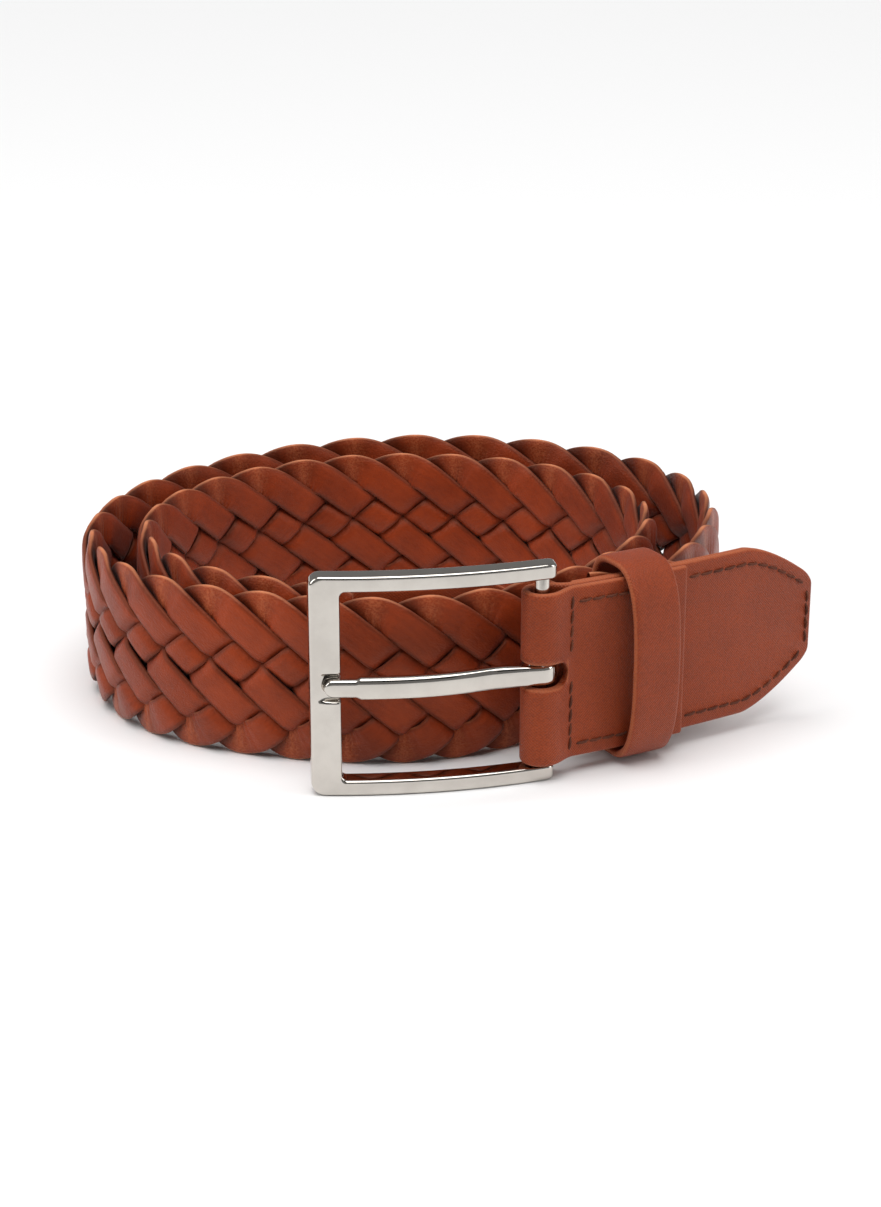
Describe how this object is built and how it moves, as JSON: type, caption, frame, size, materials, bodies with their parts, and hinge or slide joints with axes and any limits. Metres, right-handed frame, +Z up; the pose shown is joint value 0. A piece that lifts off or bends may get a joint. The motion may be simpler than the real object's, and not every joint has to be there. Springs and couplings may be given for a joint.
{
  "type": "leather belt",
  "caption": "Flat-braided leather belt coiled on its edge, with a swinging single-prong buckle, a folded and stitched buckle tab, a sliding keeper loop and a sewn tip tab.",
  "frame": {"origin": "middle of the bounding box in plan, on the floor", "axes": "+Z up along the strap's width, the buckle faces -Y, +X to the right with the tongue's tip at the right end"},
  "size_m": [0.1512, 0.1327, 0.0445],
  "materials": {
    "braid_leather": "cognac full-grain leather strands, satin",
    "tab_leather": "cognac leather, fine pebble, satin, dyed edges worn lighter",
    "nickel": "polished nickel plate",
    "thread": "waxed dark brown thread"
  },
  "bodies": {
    "strap": {"strand_1": "braid_leather", "strand_2": "braid_leather", "strand_3": "braid_leather", "strand_4": "braid_leather", "strand_5": "braid_leather", "strand_6": "braid_leather", "strand_7": "braid_leather", "buckle_tab": "tab_leather", "tongue_lining": "tab_leather", "bar_stitching": "thread", "flap_stitching_top": "thread", "flap_stitching_bottom": "thread", "tongue_stitching": "thread", "tip_tab_outer": "tab_leather", "tip_tab_inner": "tab_leather", "tip_stitching": "thread"},
    "buckle": {"buckle_frame": "nickel", "hinge_bar": "nickel"},
    "prong_body": {"prong": "nickel"},
    "keeper": {"keeper_loop": "tab_leather", "keeper_staple": "nickel"}
  },
  "joints": [
    {"name": "buckle_swing", "type": "hinge", "parent": "strap", "child": "buckle", "pos_m": [0.0194, -0.0563, 0.02225], "axis": [0, 0, 1], "range_deg": [-6, 50]},
    {"name": "prong_swing", "type": "hinge", "parent": "buckle", "child": "prong_body", "pos_m": [0.0194, -0.0563, 0.02225], "axis": [0, 0, 1], "range_deg": [0, 60]},
    {"name": "keeper_slide", "type": "slide", "parent": "strap", "child": "keeper", "axis": [0.8801, 0.4747, 0], "range_m": [-0.008, 0.004]}
  ]
}
